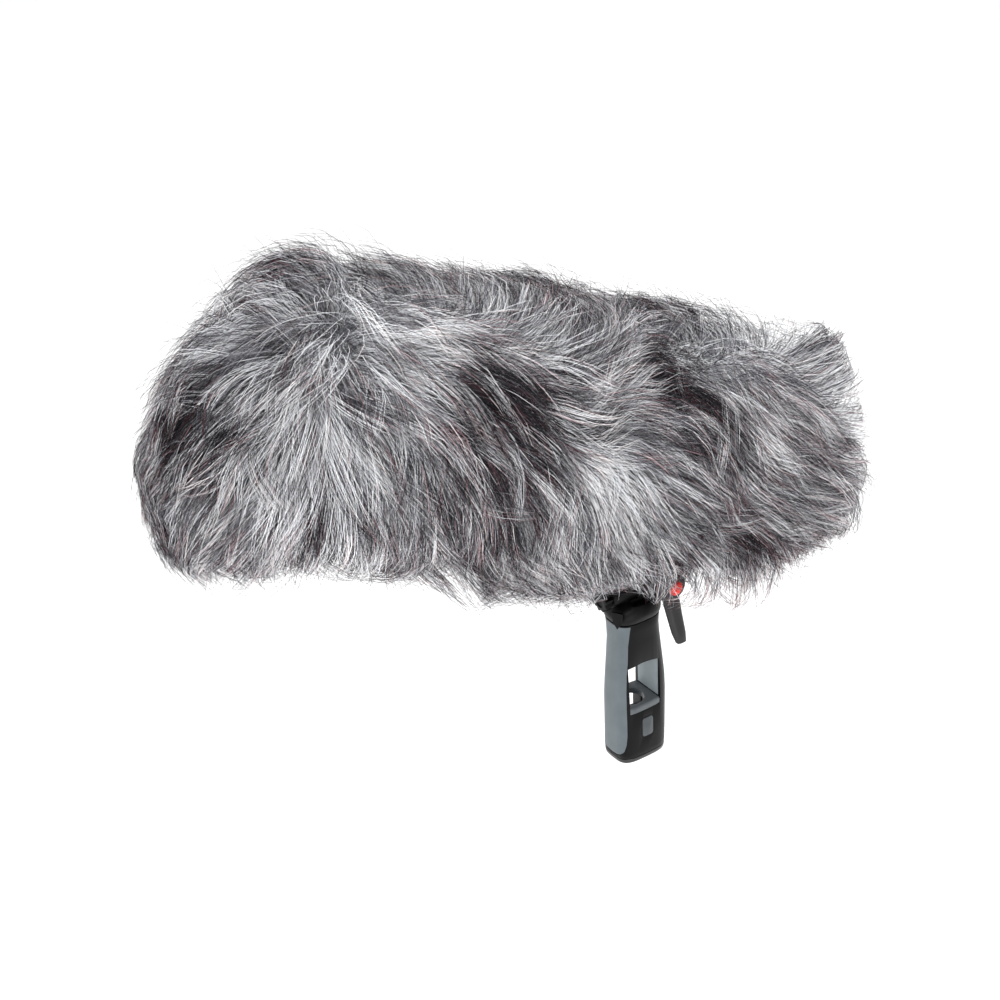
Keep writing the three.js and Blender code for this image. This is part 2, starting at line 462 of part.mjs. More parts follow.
function thick(points, t) {
  const pts = new THREE.CatmullRomCurve3(points.map(([y, z]) => new THREE.Vector3(y, z, 0)), false, 'centripetal').getPoints(34);
  const left = [], right = [];
  for (let i = 0; i < pts.length; i++) {
    const a = pts[Math.max(0, i - 1)], b = pts[Math.min(pts.length - 1, i + 1)];
    const d = b.clone().sub(a).normalize();
    left.push([pts[i].x - d.y * t / 2, pts[i].y + d.x * t / 2]);
    right.push([pts[i].x + d.y * t / 2, pts[i].y - d.x * t / 2]);
  }
  return [...left, ...right.reverse()];
}
function lyre(prefix, u) {
  const z0 = RAIL_Z1 + GAP;
  // base that straddles the rail
  let base = block(u - 9, u + 9, -12.6, 12.6, RAIL_Z0 + 0.8, z0 + 7.2)
    .subtract(block(u - 12, u + 12, -9 - GAP, 9 + GAP, 0, z0))
    .subtract(rod('y', 1.9, 0, 20, u, 0, z0 + 3.6, 16));
  add(shield, `${prefix}_lyre_base`, base, blackSoft.clone());
  const c = AXIS_H;
  const path = [[-8.6, z0 + 9.0], [-20, c - 24], [-29.5, c - 8], [-28, c + 7], [-21.5, c + 12], [-16.5, c + 5], [-15, c - 6], [-9, c - 13.6], [0, c - 15.3], [9, c - 13.6], [15, c - 6], [16.5, c + 5], [21.5, c + 12], [28, c + 7], [29.5, c - 8], [20, c - 24], [8.6, z0 + 9.0]];
  let w = prismYZ(thick(path, 2.6), u - 6.5, u + 6.5).add(block(u - 6.5, u + 6.5, -12, 12, z0 + 7.5, z0 + 10.2));
  add(shield, `${prefix}_lyre`, w, material(0x242427, 0.5));
  const clip = rod('x', 13.4, u - 6, u + 6, 0, 0, 0, 36).subtract(rod('x', 10.8, u - 8, u + 8, 0, 0, 0, 36)).subtract(prismYZ([[0, 0], [-14, 22], [14, 22]], u - 8, u + 8));
  add(shield, `${prefix}_mic_clip`, clip.translate([0, 0, c]), material(0x2f3033, 0.6));
  add(shield, `${prefix}_lyre_screw`, rod('y', 1.6, 1, 14, u, 0, z0 + 3.6, 16).add(rod('y', 3.9, 13, 18.4, u, 0, z0 + 3.6, 14)), steel.clone());
}
lyre('front', -250);
lyre('rear', -70);

// jacket: a thick pile over the whole basket, open at the slot for the yoke and the lever
function pod(u0, u1, R, z, nose, tail, n, sides) {
  const pts = [[u0, 0]];
  for (let i = 1; i <= n; i++) { const a = i / n * Math.PI / 2; pts.push([u0 + nose * (1 - Math.cos(a)), R * Math.sin(a) ** 0.92]); }
  pts.push([(u0 + nose + u1 - tail) / 2, R]);
  for (let i = n; i >= 1; i--) { const a = i / n * Math.PI / 2; pts.push([u1 - tail * (1 - Math.cos(a)), R * Math.sin(a) ** 0.92]); }
  pts.push([u1, 0]);
  return turned(pts, sides, z);
}
const cavity = pod(TUBE_U0 - 12.3 - CAP_NOSE - 5, TUBE_U1 + 12.3 + CAP_TAIL + 5, BASKET_R + 4, AXIS_H, 50, 44, 5, 24);
const slot = block(-SLOT_U, SLOT_U, SLOT_Y0, SLOT_Y1, -80, AXIS_H - 20);
const fur = pod(FUR_NOSE, FUR_TAIL, FUR_R, AXIS_H - FUR_DROP, 104, 92, 7, 28).subtract(cavity).subtract(slot);
// sewn from a right and a left half, with the seam along the middle
add(shield, 'fur_jacket_right', fur.intersect(block(-600, 300, -200, -GAP / 2, -200, 400)), furMat);
add(shield, 'fur_jacket_left', fur.intersect(block(-600, 300, GAP / 2, 200, -200, 400)), furMat.clone());
// elastic hem round the slot
const hem = block(-SLOT_U + GAP, SLOT_U - GAP, SLOT_Y0 + GAP, SLOT_Y1 - GAP, 24, 40)
  .subtract(block(-SLOT_U + 2.3, SLOT_U - 2.3, SLOT_Y0 + 2.3, SLOT_Y1 - 2.3, 0, 60))
  .subtract(rod('x', BASKET_R + 4.5, -200, 200, 0, 0, AXIS_H, 64));
add(shield, 'slot_hem', hem, blackSoft.clone());

export default part;
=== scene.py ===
import bpy
import json
import math
import numpy as np
from mathutils import Matrix, Vector
from mathutils.kdtree import KDTree


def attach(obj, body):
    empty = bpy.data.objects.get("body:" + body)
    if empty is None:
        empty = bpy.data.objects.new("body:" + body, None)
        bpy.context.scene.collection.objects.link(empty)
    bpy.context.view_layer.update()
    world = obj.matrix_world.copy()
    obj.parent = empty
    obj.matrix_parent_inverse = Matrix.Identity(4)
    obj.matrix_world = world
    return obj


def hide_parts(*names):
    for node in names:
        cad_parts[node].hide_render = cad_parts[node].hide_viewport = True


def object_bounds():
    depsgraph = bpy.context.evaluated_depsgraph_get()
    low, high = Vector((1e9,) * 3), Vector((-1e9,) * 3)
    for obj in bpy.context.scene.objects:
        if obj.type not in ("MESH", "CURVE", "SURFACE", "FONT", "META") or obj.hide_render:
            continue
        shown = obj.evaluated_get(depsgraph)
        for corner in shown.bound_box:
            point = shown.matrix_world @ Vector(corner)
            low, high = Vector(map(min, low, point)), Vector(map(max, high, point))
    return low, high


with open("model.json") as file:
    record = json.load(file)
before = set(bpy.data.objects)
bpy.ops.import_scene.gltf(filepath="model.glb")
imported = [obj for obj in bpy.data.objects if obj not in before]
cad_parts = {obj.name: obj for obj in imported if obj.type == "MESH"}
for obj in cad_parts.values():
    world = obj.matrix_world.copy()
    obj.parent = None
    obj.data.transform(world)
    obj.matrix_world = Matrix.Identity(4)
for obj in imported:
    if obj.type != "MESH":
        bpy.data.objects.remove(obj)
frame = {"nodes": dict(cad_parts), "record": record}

CAD_BOX = [list(v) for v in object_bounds()]
nodes = frame["nodes"]
scene = bpy.context.scene
rng = np.random.default_rng(20261)

# ------------------------------------------------------------------ frame of the windshield
# local axes (mm): u along the basket towards its tail, y across, w up from the pivot
TILT = math.radians(23.5)
CT, ST = math.cos(TILT), math.sin(TILT)
PIVOT = (12.5, 0.0, 168.0)


def to_row(p):
    p = np.asarray(p, float)
    u, y, w = p[..., 0], p[..., 1], p[..., 2]
    return np.stack([PIVOT[0] + u * CT + w * ST, y, PIVOT[2] - u * ST + w * CT], -1) / 1000.0


DOWN = np.array([ST, 0.0, -CT])          # the row frame's -Z in local axes

# ------------------------------------------------------------------ materials


def lin(h):
    h = h.lstrip("#")
    v = [int(h[i:i + 2], 16) / 255 for i in (0, 2, 4)]
    return tuple(x / 12.92 if x <= 0.04045 else ((x + 0.055) / 1.055) ** 2.4 for x in v) + (1.0,)


def flat_material(name, rgb, rough=0.5, spec=0.4, metal=0.0, sheen=0.0):
    m = bpy.data.materials.new(name)
    m.use_nodes = True
    b = m.node_tree.nodes["Principled BSDF"]
    b.inputs["Base Color"].default_value = (*rgb[:3], 1.0)
    b.inputs["Roughness"].default_value = rough
    b.inputs["Specular IOR Level"].default_value = spec
    b.inputs["Metallic"].default_value = metal
    b.inputs["Sheen Weight"].default_value = sheen
    return m


def surface(name, dark, light, rough, scale, bump=0.0, bump_scale=None, metal=0.0, spec=0.5, sheen=0.0,
            stretch=None, kind="noise", coat=0.0):
    """Colour varied by noise, with a fine bump from a second texture."""
    m = bpy.data.materials.new(name)
    m.use_nodes = True
    nt = m.node_tree
    b = nt.nodes["Principled BSDF"]
    co = nt.nodes.new("ShaderNodeTexCoord")
    mp = nt.nodes.new("ShaderNodeMapping")
    if stretch:
        mp.inputs["Scale"].default_value = stretch
    nt.links.new(co.outputs["Object"], mp.inputs["Vector"])
    tex = nt.nodes.new("ShaderNodeTexNoise")
    tex.inputs["Scale"].default_value = scale
    tex.inputs["Detail"].default_value = 6
    tex.inputs["Roughness"].default_value = 0.6
    nt.links.new(mp.outputs["Vector"], tex.inputs["Vector"])
    ramp = nt.nodes.new("ShaderNodeValToRGB")
    ramp.color_ramp.elements[0].position = 0.3
    ramp.color_ramp.elements[1].position = 0.72
    ramp.color_ramp.elements[0].color = lin(dark)
    ramp.color_ramp.elements[1].color = lin(light)
    nt.links.new(tex.outputs["Fac"], ramp.inputs["Fac"])
    nt.links.new(ramp.outputs["Color"], b.inputs["Base Color"])
    b.inputs["Roughness"].default_value = rough
    b.inputs["Metallic"].default_value = metal
    b.inputs["Specular IOR Level"].default_value = spec
    b.inputs["Sheen Weight"].default_value = sheen
    b.inputs["Coat Weight"].default_value = coat
    if bump:
        if kind == "weave":
            t2 = nt.nodes.new("ShaderNodeTexVoronoi")
            t2.inputs["Scale"].default_value = bump_scale or scale * 4
            out = t2.outputs["Distance"]
        else:
            t2 = nt.nodes.new("ShaderNodeTexNoise")
            t2.inputs["Scale"].default_value = bump_scale or scale * 4
            t2.inputs["Detail"].default_value = 3
            out = t2.outputs["Fac"]
        nt.links.new(mp.outputs["Vector"], t2.inputs["Vector"])
        bp = nt.nodes.new("ShaderNodeBump")
        bp.inputs["Strength"].default_value = bump
        bp.inputs["Distance"].default_value = 0.0002
        nt.links.new(out, bp.inputs["Height"])
        nt.links.new(bp.outputs["Normal"], b.inputs["Normal"])
    return m


M = {
    "satin_black": surface("satin_black", "#040405", "#070708", 0.34, 60, 0.10, 2600, spec=0.10),
    "soft_black": surface("soft_black", "#030304", "#060607", 0.40, 90, 0.2, 1900, spec=0.12),
    "grip_grey": surface("grip_grey", "#434b4f", "#4f575b", 0.46, 45, 0.25, 3200, spec=0.28, sheen=0.04),
    "foot_black": surface("foot_black", "#040405", "#070708", 0.2, 60, 0.05, 2600, spec=0.5),
    # liner is grip_grey painted lighter: a lit copy of the grip's grey for the window liner, which sits in shade
    "liner": surface("liner", "#7b8488", "#899297", 0.5, 45, 0.2, 3200, spec=0.3),
    "grip_dark": surface("grip_dark", "#2a2d2f", "#363a3c", 0.66, 45, 0.25, 3200, spec=0.3, sheen=0.1),
    "ledge_grey": surface("ledge_grey", "#3f4346", "#4e5356", 0.40, 60, 0.12, 2400, spec=0.3),
    "badge_grey": surface("badge_grey", "#33373a", "#3e4346", 0.42, 80, 0.05, 2000, spec=0.3),
    "strap_black": surface("strap_black", "#020202", "#050505", 0.5, 80, 0.2, 2200, spec=0.10),
    "steel": surface("steel", "#9a9da1", "#b6b9bd", 0.28, 120, 0.05, 1500, metal=1.0, stretch=(1, 6, 1)),
    "brass": surface("brass", "#96733a", "#b08c4c", 0.3, 120, 0.05, 1500, metal=1.0),
    "friction_pad": surface("friction_pad", "#4e4234", "#64553f", 0.8, 160, 0.3, 2600, spec=0.2),
    "lever_grey": surface("lever_grey", "#141213", "#1e1b1c", 0.40, 60, 0.12, 2400, spec=0.28),
    "button_red": surface("button_red", "#d3210f", "#e2301c", 0.38, 70, 0.04, 1800, spec=0.3),
    "cage_plastic": surface("cage_plastic", "#2a2c2e", "#34373a", 0.5, 60, 0.12, 2400),
    "net_fabric": surface("net_fabric", "#232325", "#303034", 0.85, 200, 0.6, 900, spec=0.2, sheen=0.1, kind="weave"),
    "rail_aluminium": surface("rail_aluminium", "#a2a7ad", "#b9bdc2", 0.34, 90, 0.08, 1200, metal=1.0, stretch=(8, 1, 1)),
    "lyre_plastic": surface("lyre_plastic", "#1c1c1f", "#28282c", 0.46, 60, 0.1, 2400),
    "felt": surface("felt", "#8b8b8e", "#b3b3b5", 0.9, 140, 0.6, 1400, spec=0.15, sheen=0.3),
    "hem": surface("hem", "#131315", "#222225", 0.85, 220, 0.6, 1100, spec=0.2, sheen=0.2, kind="weave"),
}
slot_of = {s["node"]: s["material_slot"] for s in frame["record"]["subparts"]}
bevels = {"handle_frame_right": .5, "handle_frame_left": .5, "window_ledge": .4, "base_plate": .6, "swivel_head": .5,
          "lock_knob": .5, "clamp_lever": .4, "side_badge": .3, "lever_button": .3, "keeper_strap": .25, "yoke": .5,
          "pivot_nut": .4, "front_lyre_base": .4, "rear_lyre_base": .4, "suspension_rail": .3}
for name, o in nodes.items():
    if name in ("fur_jacket_right", "fur_jacket_left"):
        continue
    me = o.data
    me.materials.clear()
    # the window liner gets the painted-lighter copy of grip_grey
    me.materials.append(M[{"slot_hem": "hem", "window_liner": "liner", "base_plate": "foot_black"}.get(name, slot_of[name])])
    if "custom_normal" in me.attributes:
        me.attributes.remove(me.attributes["custom_normal"])
    if "sharp_face" in me.attributes:
        me.attributes.remove(me.attributes["sharp_face"])
    me.shade_smooth()
    w = o.modifiers.new("weld", "WELD")
    w.merge_threshold = 0.00002
    if name in bevels:
        b = o.modifiers.new("bevel", "BEVEL")
        b.width = bevels[name] / 1000
        b.segments = 2
        b.limit_method = "ANGLE"
        b.angle_limit = math.radians(38)
        b.harden_normals = False
    e = o.modifiers.new("edges", "EDGE_SPLIT")
    e.split_angle = math.radians(36)

# ------------------------------------------------------------------ the groom
# comb strokes: a point on the pile's surface and the way the hair lies there (local mm)
STROKES = [
    (-421, 25, 167, -0.31, 0.76, -0.57), (-387, 36, 186, 0.31, 0.92, -0.22), (-360, 34, 195, -0.93, 0.28, -0.22),
    (-328, 25, 198, -0.99, -0.16, 0.04), (-279, 24, 198, -0.85, 0.52, -0.12), (-231, 18, 200, 0.24, 0.96, -0.16),
    (-196, -6, 201, 0.38, 0.92, 0.05), (-445, 12, 135, -0.38, 0.11, -0.92), (-454, -4, 100, -0.07, 0.31, -0.95),
    (-450, 6, 63, 0.21, 0.77, -0.60), (-427, 26, 26, -0.30, -0.95, -0.01), (-446, -29, 64, -0.03, 0.77, -0.63),
    (-414, 11, 10, -0.42, -0.88, 0.23), (-417, -43, 24, 0.25, 0.68, -0.68), (-430, -32, 152, -0.62, 0.44, -0.65),
    (-430, -60, 124, -0.46, 0.20, -0.87), (-427, -72, 89, -0.15, 0.22, -0.96), (-429, -60, 57, -0.13, 0.63, -0.76),
    (-406, -88, 110, 0.01, -0.20, -0.98), (-391, -98, 89, 0.33, -0.12, -0.94), (-378, -102, 111, 0.60, -0.32, -0.73),
    (-409, -88, 83, -0.06, 0.15, -0.99), (-401, -46, 174, -0.86, 0.19, -0.48), (-383, -67, 170, -0.68, -0.36, -0.64),
    (-367, -44, 190, 0.21, -0.91, -0.36), (-351, -76, 170, 0.87, -0.37, -0.31), (-314, -61, 182, 0.96, -0.23, -0.16),
    (-307, -86, 158, 0.90, -0.26, -0.34), (-347, -101, 133, 0.89, -0.17, -0.42), (-342, -108, 103, 0.62, -0.07, -0.78),
    (-277, -70, 175, 0.82, -0.44, -0.37), (-259, -92, 151, 0.82, -0.30, -0.48), (-233, -102, 129, 0.76, -0.22, -0.61),
    (-263, -107, 108, 0.60, -0.11, -0.79), (-290, -106, 71, 0.48, 0.18, -0.86), (-229, -105, 66, 0.58, 0.20, -0.79),
    (-340, -103, 60, 0.46, 0.27, -0.85), (-366, -87, 31, 0.46, 0.44, -0.77), (-394, -64, 20, 0.36, 0.58, -0.74),
    (-202, -56, 185, 0.80, -0.52, -0.31), (-210, -108, 104, 0.54, -0.09, -0.84), (-177, -103, 61, 0.58, 0.24, -0.78),
    (-220, -90, 153, 0.62, -0.44, -0.65), (-175, -88, 157, 0.52, 0.50, 0.69), (-148, -58, 185, 0.74, 0.57, 0.36),
    (-74, 4, 201, 0.69, 0.72, -0.02), (-184, -103, 126, -0.21, 0.30, 0.93), (-19, 22, 199, -0.99, 0.14, -0.03),
    (37, 22, 199, 0.12, 0.97, -0.21), (-169, -108, 100, 0.64, -0.05, -0.76), (-133, -106, 71, 0.83, 0.11, -0.55),
    (-119, -108, 103, 0.88, -0.04, -0.47), (-125, -99, 136, 1.00, -0.00, -0.01), (-133, -85, 159, 0.92, 0.25, 0.32),
    (-89, -72, 173, 0.54, -0.63, -0.56), (-43, -46, 191, -0.21, -0.89, -0.41), (-87, -98, 139, 0.98, -0.08, -0.17),
    (-55, -105, 121, -0.10, -0.25, -0.96), (-78, -108, 98, 0.98, -0.01, -0.20), (-81, -105, 66, 0.93, 0.09, -0.35),
    (-23, -105, 68, 0.96, 0.06, -0.26), (23, -107, 79, 0.99, 0.01, -0.10), (-97, -92, 36, 0.73, 0.36, -0.59),
    (-133, -91, 34, 0.62, 0.43, -0.66), (12, -57, 185, 0.18, -0.84, -0.52), (17, -87, 158, 0.86, -0.31, -0.41),
    (-5, -104, 124, 0.99, -0.05, -0.15), (91, -29, 185, 0.30, 0.94, 0.14), (90, -66, 164, 0.85, 0.53, -0.09),
    (77, -97, 126, 0.95, 0.29, -0.14), (92, -94, 77, 0.84, 0.49, -0.22), (67, -92, 42, 0.82, 0.43, -0.38),
    (-9, -87, 29, 0.75, 0.39, -0.53),
]
PATCHES = [
    (-447, -30, 70, 24, 1.00), (-452, -7, 75, 16, 0.60), (-450, -21, 117, 13, 0.65), (-364, 36, 193, 20, 0.70),
    (-423, -3, 169, 12, 0.35), (-262, -89, 155, 26, 0.85), (-229, -99, 137, 18, 0.60), (-288, -96, 143, 16, 0.40),
    (-261, -108, 101, 20, 0.55), (-224, -102, 58, 18, 0.50), (-286, -106, 71, 16, 0.35), (-96, -72, 174, 23, 1.25),
    (-99, -48, 190, 14, 0.70), (-384, -90, 46, 14, 0.85), (3, -104, 62, 20, 0.75), (-56, -102, 58, 14, 0.50),
    (83, -100, 103, 16, 0.60), (-15, 24, 198, 17, 0.60), (90, -26, 186, 14, 0.60), (-412, -68, 144, 12, 0.45),
    (-347, -99, 136, 14, 0.30), (-226, -70, 10, 16, 0.40), (-181, -68, 177, 12, 0.45), (-208, -107, 111, 13, 0.40),
    (-67, -97, 140, 14, 0.30), (-418, -66, 47, 13, 0.30), (-151, -108, 94, 26, -0.95), (-177, -106, 113, 14, -0.70),
    (-157, -103, 124, 12, -0.60), (-105, -97, 46, 12, -0.50), (-164, -86, 27, 12, -0.55), (-154, -99, 48, 12, -0.55),
    (-424, -73, 77, 16, -0.45), (-422, -60, 45, 14, -0.40), (-408, -84, 122, 14, -0.40), (-390, -70, 163, 14, -0.35),
    (-382, -18, -7, 16, -0.35), (-344, -44, -6, 16, -0.40), (-262, -43, -6, 14, -0.30), (-265, -102, 56, 8, 0.40),
    (-307, -90, 153, 8, 0.50), (-296, -93, 148, 8, 0.50), (-251, -98, 140, 9, 0.60), (-237, -103, 126, 9, 0.60),
    (-214, -105, 118, 8, 0.50), (-175, -76, 170, 7, 0.55), (-193, -86, 158, 7, 0.50), (-191, -62, 182, 8, 0.50),
    (-93, -81, 165, 9, 0.60), (-102, -60, 183, 9, 0.60), (-68, -98, 48, 9, 0.50), (-4, -100, 51, 9, 0.60),
    (21, -103, 60, 9, 0.55), (-383, -92, 50, 8, 0.70), (-372, -90, 39, 8, 0.60), (-151, -108, 94, 6, -0.20),
    (-116, -103, 59, 18, -0.50), (-386, -39, 186, 22, -0.40), (-404, -91, 95, 22, -0.55), (-446, 8, 133, 12, -0.50),
    (-307, -64, 180, 24, -0.40), (-322, -85, 159, 14, -0.30), (-6, -96, 144, 24, -0.30), (-180, -92, 150, 13, -0.35),
    (-204, -60, 183, 16, -0.30), (-361, -65, 8, 22, -0.60), (-326, -79, 18, 18, -0.50), (-177, -96, 42, 20, -0.50),
    (-128, -87, 29, 18, -0.40), (-140, -66, 7, 12, -0.30), (-356, -107, 102, 20, -0.25), (-42, -61, 3, 14, -0.50),
    (-453, 8, 79, 12, 0.70), (-441, -51, 93, 12, 0.55), (-416, -15, 174, 10, 0.45), (-340, 11, 201, 9, 0.40),
    (-272, 23, 199, 9, 0.35), (-228, -88, 156, 10, 0.50), (-283, -103, 126, 12, 0.50), (-317, -108, 98, 11, 0.35),
    (-247, -107, 77, 12, 0.50), (-245, -94, 39, 12, 0.50), (-227, -108, 103, 10, 0.45), (-381, -87, 148, 10, 0.35),
    (-392, -91, 129, 9, 0.30), (-422, -64, 136, 10, 0.40), (-369, -85, 31, 10, 0.60), (-401, -42, 10, 11, 0.40),
    (-427, -7, 21, 11, 0.40), (-68, 23, 198, 9, 0.45), (-3, -15, 200, 11, 0.40), (-84, -83, 163, 12, 0.60),
    (-124, -103, 126, 9, 0.30), (-50, -104, 121, 10, 0.35), (39, -102, 57, 12, 0.60), (-44, -90, 33, 11, 0.45),
    (-69, -71, 12, 9, 0.40), (76, -91, 140, 9, 0.35), (54, -31, 196, 10, 0.40), (-147, -41, 193, 9, 0.40),
    (-203, -96, 143, 9, 0.40), (-250, -44, -6, 10, 0.45), (-174, -63, 5, 10, 0.40), (-430, -65, 112, 12, -0.40),
    (-445, -38, 117, 11, -0.45), (-367, -103, 119, 11, -0.30), (-295, -107, 106, 9, -0.35), (-242, -67, 178, 12, -0.30),
    (-174, -105, 120, 14, -0.60), (-120, -108, 84, 12, -0.50), (-36, -77, 169, 12, -0.35), (38, -90, 153, 12, -0.30),
    (-90, -108, 82, 10, -0.35), (-294, -100, 50, 12, -0.40), (-397, -5, -2, 12, -0.45), (-371, -102, 65, 12, -0.40),
    (-412, -82, 68, 14, -0.45),
]
MASSES = [
    (-414, 1, 9, -9.3, 2.3, -15.6, 30), (-409, -3, 5, -20.7, 12.2, -15.7, 26), (-424, 27, 24, -6.5, 3.8, -5.1, 22),
    (-387, -12, -6, -0.8, 5.6, 13.3, 24), (-365, -34, -8, -0.3, 2.0, 4.6, 26), (-331, -48, -4, -0.6, 4.5, 10.6, 24),
    (-414, 57, 155, 14.4, -17.4, -13.0, 30), (-425, 59, 138, 7.1, -7.7, -4.2, 24), (-434, 59, 115, 16.9, -13.9, 2.1, 24),
    (-440, 51, 80, 11.8, -9.4, 2.3, 24), (-439, 37, 52, 8.5, -7.0, 1.1, 20), (-410, 0, 6, -13.9, 6.7, -14.6, 24),
    (-265, -47, -4, -1.7, 12.3, 29.2, 28), (-192, -43, -6, 0.9, -6.7, -15.9, 20), (41, -74, 14, 0.3, -2.2, -5.3, 24),
    (89, -96, 76, 9.4, -9.9, -4.7, 26), (88, -31, 186, 24.8, -5.6, 42.9, 17), (84, -31, 187, 18.3, -8.9, 18.9, 15),
    (87, -76, 30, -10.3, 9.6, 1.6, 20), (86, -89, 136, 5.6, -4.1, 2.0, 28), (-188, -104, 122, 4.8, -5.5, -3.7, 14),
    (-364, 37, 193, -1.2, 1.4, 0.9, 24), (-8, -71, 12, 0.2, -1.7, -4.0, 22), (-349, -40, -7, -0.5, 3.4, 8.0, 24),
    (-173, -43, -6, -0.7, 5.0, 11.9, 28), (88, -85, 44, -7.0, 14.7, 23.1, 20), (62, 3, 199, -0.2, 1.7, 4.0, 20),
]
# patches: a point, a spread in mm and an amount, dark above 0 and light below; the light ones along the bottom edge (w
# near 0) are painted bounce light from the floor, the others are streaks of darker and paler fur

RNG_SIDE = np.random.default_rng(77)
S = np.array(STROKES, float)
# the far side is not in the photo: the same kind of strokes, shifted along and turned a little
far = S.copy()
far[:, 1] *= -1
far[:, 4] *= -1
far[:, 0] = -(far[:, 0] + 157) - 157 + 30
far[:, 3] *= -1
far = far[far[:, 1] > 35]
S = np.vstack([S, far])
SP, SD = S[:, :3], S[:, 3:6]
SD = SD / np.linalg.norm(SD, axis=1)[:, None]
P = np.array(PATCHES, float)
farp = P.copy()
farp[:, 1] *= -1
farp[:, 0] = -(farp[:, 0] + 157) - 157 + 30
farp = farp[farp[:, 1] > 35]
P = np.vstack([P, farp])

AX_A, AX_B, AX_W = -344.0, 34.0, 94.0    # the pile's core line
SHELL = 108.0


def core(p):
    q = np.empty_like(p)
    q[:, 0] = np.clip(p[:, 0], AX_A, AX_B)
    q[:, 1] = 0.0
    q[:, 2] = AX_W
    return q


def waves(count, length, seed):
    g = np.random.default_rng(seed)
    k = g.normal(size=(count, 3))
    k /= np.linalg.norm(k, axis=1)[:, None]
    k *= (2 * math.pi / (length * g.uniform(0.7, 1.5, count)))[:, None]
    return k, g.uniform(0, 2 * math.pi, count), g.normal(size=(count, 3)) / math.sqrt(count)


def sm(a, b, x):
    v = np.clip((x - a) / (b - a), 0, 1)
    return v * v * (3 - 2 * v)


W_BIG, W_MID, W_FINE = waves(10, 120, 5), waves(14, 48, 6), waves(16, 19, 7)


def vnoise(p, w):
    k, ph, am = w
    return np.sin(p @ k.T + ph) @ am


def snoise(p, w):
    k, ph, am = w
    return np.sin(p @ k.T + ph) @ am[:, 0]


def flow(p):
    """Outward normal and the way the hair lies, at points p."""
    q = core(p)
    n = p - q
    n /= np.maximum(np.linalg.norm(n, axis=1), 1e-6)[:, None]
    s = q + n * SHELL
    d = np.zeros_like(p)
    for i in range(0, len(p), 20000):
        b = s[i:i + 20000]
        d2 = ((b ** 2).sum(1)[:, None] + (SP ** 2).sum(1)[None, :] - 2 * b @ SP.T)
        wt = np.exp(-np.maximum(d2, 0) / (2 * 27.0 ** 2))
        d[i:i + 20000] = wt @ SD
    d += 0.10 * DOWN + 0.22 * vnoise(s, W_BIG) + 0.16 * vnoise(s, W_MID)
    d -= (d * n).sum(1)[:, None] * n
    d /= np.maximum(np.linalg.norm(d, axis=1), 1e-6)[:, None]
    return n, d


def patch(p):
    q = core(p)
    n = p - q
    n /= np.maximum(np.linalg.norm(n, axis=1), 1e-6)[:, None]
    s = q + n * SHELL
    s = s + 7.0 * vnoise(s, W_MID)
    out = np.zeros(len(p))
    for i in range(0, len(p), 20000):
        b = s[i:i + 20000]
        d2 = ((b ** 2).sum(1)[:, None] + (P[:, :3] ** 2).sum(1)[None, :] - 2 * b @ P[:, :3].T)
        out[i:i + 20000] = np.exp(-np.maximum(d2, 0) / (2 * (P[:, 3] * 0.74) ** 2)) @ P[:, 4]
    return out


ROOT_A, ROOT_B, ROOT_W, ROOT_R = -352.0, 34.0, 97.0, 64.0


def roots(count, g):
    """Points spread evenly over the jacket's backing, none of them in the slot."""
    side = 2 * math.pi * ROOT_R * (ROOT_B - ROOT_A)
    ball = 4 * math.pi * ROOT_R ** 2
    on_side = g.random(count) < side / (side + ball)
    v = g.normal(size=(count, 3))
    v /= np.linalg.norm(v, axis=1)[:, None]
    a = g.uniform(0, 2 * math.pi, count)
    v[on_side] = np.stack([np.zeros(count), np.cos(a), np.sin(a)], 1)[on_side]
    u = np.where(on_side, g.uniform(ROOT_A, ROOT_B, count), np.where(v[:, 0] < 0, ROOT_A, ROOT_B))
    p = v * ROOT_R + np.stack([u, np.zeros(count), np.full(count, ROOT_W)], 1)
    cut = (np.abs(p[:, 0]) < 60) & (p[:, 1] > -54) & (p[:, 1] < 41) & (p[:, 2] < 80)
    return p[~cut]


SEG = 6


def grow(p, length, lift, turn, droop):
    path = [p.copy()]
    for k in range(SEG):
        t = (k + 0.5) / SEG
        n, d = flow(p)
        side = np.cross(n, d)
        d = d * np.cos(turn)[:, None] + side * np.sin(turn)[:, None]
        th = np.radians(24 + 60 * t ** 0.85) + lift
        th = np.clip(th, 0.12, 1.5)
        v = n * np.cos(th)[:, None] + d * np.sin(th)[:, None] + DOWN * (droop * t ** 1.4)[:, None]
        v /= np.linalg.norm(v, axis=1)[:, None]
        p = p + v * (length / SEG)[:, None]
        path.append(p)
    return np.stack(path, 1)


COUNT, LOCKS = 86000, 7600
base = roots(COUNT, rng)
lock_root = roots(LOCKS, rng)
tree = KDTree(len(lock_root))
for i, c in enumerate(lock_root):
    tree.insert(c, i)
tree.balance()
lock = np.array([tree.find(c)[1] for c in base])
nl, nb = len(lock_root), len(base)
l_len = rng.normal(84, 9, nl)
l_lift = rng.normal(0, 0.12, nl) + 0.22 * snoise(lock_root, W_MID)
l_turn = rng.normal(0, 0.27, nl) + 0.5 * snoise(lock_root, W_FINE)
l_droop = rng.uniform(0.18, 0.42, nl)
guide = grow(lock_root.copy(), l_len, l_lift, l_turn, l_droop)
stray = rng.random(nb) < 0.085
length = l_len[lock] * rng.normal(1, 0.07, nb) + np.where(stray, rng.uniform(0, 10, nb), 0)
lift = l_lift[lock] + rng.normal(0, 0.08, nb) - np.where(stray, rng.uniform(0.1, 0.5, nb), 0)
turn = l_turn[lock] + rng.normal(0, 0.12, nb) + np.where(stray, rng.normal(0, 0.4, nb), 0)
droop = l_droop[lock] * rng.uniform(0.8, 1.2, nb)
path = grow(base.copy(), length, lift, turn, droop)
